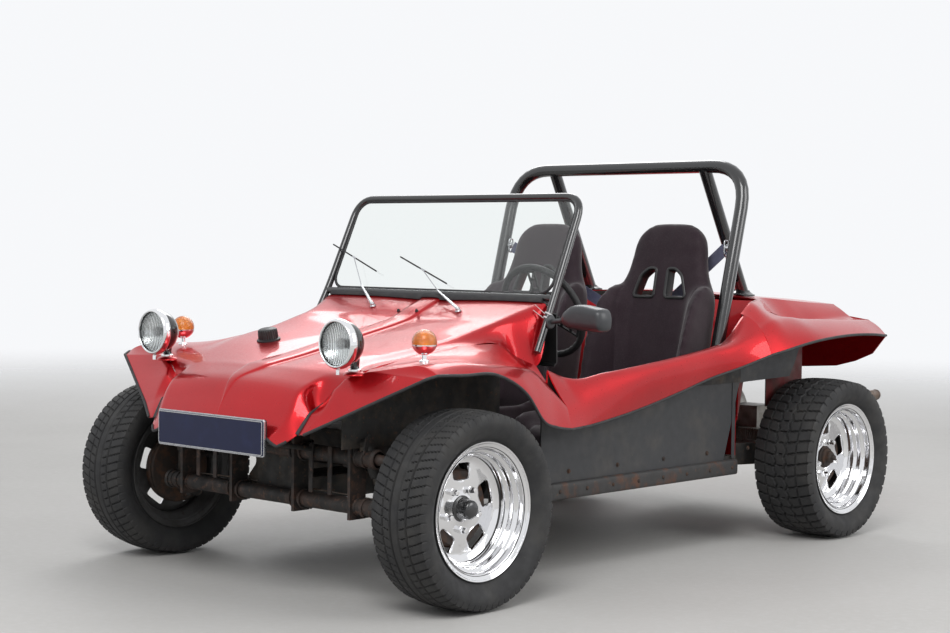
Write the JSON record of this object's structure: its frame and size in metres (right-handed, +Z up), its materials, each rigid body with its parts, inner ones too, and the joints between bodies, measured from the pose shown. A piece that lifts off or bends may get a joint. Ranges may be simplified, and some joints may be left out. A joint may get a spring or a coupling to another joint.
{
  "type": "dune buggy",
  "caption": "Open two-seat dune buggy with a one-piece red fibreglass style body, roll bar, low windscreen and deep dish wheels.",
  "frame": {"origin": "ground level, halfway between the tip of the nose and the end of the tail pipe, on the centre line", "axes": "+X to the car's left, +Y to the rear, +Z up; the car faces -Y"},
  "size_m": [1.638, 3.016, 1.4234],
  "materials": {
    "body_paint": "glossy metallic red gel coat",
    "black_plastic": "satin black moulded plastic",
    "panel_grey": "matte dark grey paint",
    "chassis_black": "matte black paint, dusty",
    "beam_rust": "worn black paint with rust",
    "alloy": "dull cast alloy",
    "exhaust_steel": "dull steel",
    "frame_black": "gloss black paint",
    "glass": "clear, faintly tinted",
    "seat_fabric": "dark aubergine upholstery",
    "black_rubber": "black rubber",
    "lamp_chrome": "chrome ring and glass lens",
    "amber_lens": "amber lens in a chrome cup",
    "plate_blue": "dark blue, blank",
    "wheel_chrome": "polished",
    "tyre": "black sidewall",
    "belt_web": "blue-grey webbing with steel fittings"
  },
  "bodies": {
    "chassis": {"belt_left": "belt_web", "belt_right": "belt_web", "bulkhead": "body_paint", "controls": "frame_black", "dashboard": "black_plastic", "deck_cap": "black_plastic", "engine": "alloy", "exhaust": "exhaust_steel", "floor_pan": "chassis_black", "front_arms_left": "beam_rust", "front_arms_right": "beam_rust", "front_beam": "beam_rust", "front_fender_left": "body_paint", "front_fender_right": "body_paint", "front_tub": "panel_grey", "fuel_cap": "black_plastic", "headlight_left": "lamp_chrome", "headlight_right": "lamp_chrome", "hood": "body_paint", "indicator_left": "amber_lens", "indicator_right": "amber_lens", "number_plate": "plate_blue", "rear_arm_left": "chassis_black", "rear_arm_right": "chassis_black", "rear_deck": "body_paint", "rear_fender_left": "body_paint", "rear_fender_right": "body_paint", "roll_bar": "frame_black", "seat_left": "seat_fabric", "seat_right": "seat_fabric", "side_left": "body_paint", "side_mirror": "black_plastic", "side_panel_left": "panel_grey", "side_panel_right": "panel_grey", "side_right": "body_paint", "steering_box": "beam_rust", "steering_column": "frame_black", "tail_panel": "body_paint", "transaxle": "alloy", "windshield_frame": "frame_black", "windshield_glass": "glass", "wipers": "black_plastic"},
    "front_wheel_left": {"front_rim_left": "wheel_chrome", "front_tyre_left": "tyre"},
    "front_wheel_right": {"front_rim_right": "wheel_chrome", "front_tyre_right": "tyre"},
    "rear_wheel_left": {"rear_rim_left": "wheel_chrome", "rear_tyre_left": "tyre"},
    "rear_wheel_right": {"rear_rim_right": "wheel_chrome", "rear_tyre_right": "tyre"},
    "steer_left": {"steering_knuckle_left": "beam_rust"},
    "steer_right": {"steering_knuckle_right": "beam_rust"},
    "steering": {"steering_wheel": "black_rubber"},
    "pitman": {"pitman_arm": "beam_rust"},
    "tie_left": {"tie_rod_left": "beam_rust"},
    "tie_right": {"tie_rod_right": "beam_rust"}
  },
  "joints": [
    {"name": "kingpin_left", "type": "hinge", "parent": "chassis", "child": "steer_left", "pos_m": [0.59, -1.11, 0.3], "axis": [0, 0, 1], "range_deg": [-28, 28]},
    {"name": "front_spin_left", "type": "hinge", "parent": "steer_left", "child": "front_wheel_left", "pos_m": [0.714, -1.11, 0.3], "axis": [1, 0, 0], "continuous": true},
    {"name": "rear_spin_left", "type": "hinge", "parent": "chassis", "child": "rear_wheel_left", "pos_m": [0.697, 0.92, 0.3], "axis": [1, 0, 0], "continuous": true},
    {"name": "kingpin_right", "type": "hinge", "parent": "chassis", "child": "steer_right", "pos_m": [-0.59, -1.11, 0.3], "axis": [0, 0, 1], "range_deg": [-28, 28]},
    {"name": "front_spin_right", "type": "hinge", "parent": "steer_right", "child": "front_wheel_right", "pos_m": [-0.714, -1.11, 0.3], "axis": [1, 0, 0], "continuous": true},
    {"name": "rear_spin_right", "type": "hinge", "parent": "chassis", "child": "rear_wheel_right", "pos_m": [-0.697, 0.92, 0.3], "axis": [1, 0, 0], "continuous": true},
    {"name": "steering_turn", "type": "hinge", "parent": "chassis", "child": "steering", "pos_m": [0.345, -0.325, 0.866], "axis": [0, 0.9063, 0.4226], "range_deg": [-400, 400]},
    {"name": "pitman_turn", "type": "hinge", "parent": "chassis", "child": "pitman", "pos_m": [0.345, -1.11, 0.37], "axis": [0, 0, 1], "range_deg": [-28, 28]},
    {"name": "tie_pivot_left", "type": "hinge", "parent": "steer_left", "child": "tie_left", "pos_m": [0.59, -1, 0.36], "axis": [0, 0, 1], "range_deg": [-28, 28]},
    {"name": "tie_pivot_right", "type": "hinge", "parent": "steer_right", "child": "tie_right", "pos_m": [-0.59, -1, 0.36], "axis": [0, 0, 1], "range_deg": [-28, 28]}
  ],
  "couplings": [
    {"joint": "pitman_turn", "follows": "kingpin_left", "ratio": 1},
    {"joint": "tie_pivot_left", "follows": "kingpin_left", "ratio": -1},
    {"joint": "tie_pivot_right", "follows": "kingpin_left", "ratio": -1},
    {"joint": "kingpin_right", "follows": "kingpin_left", "ratio": 1},
    {"joint": "steering_turn", "follows": "kingpin_left", "ratio": 14}
  ]
}
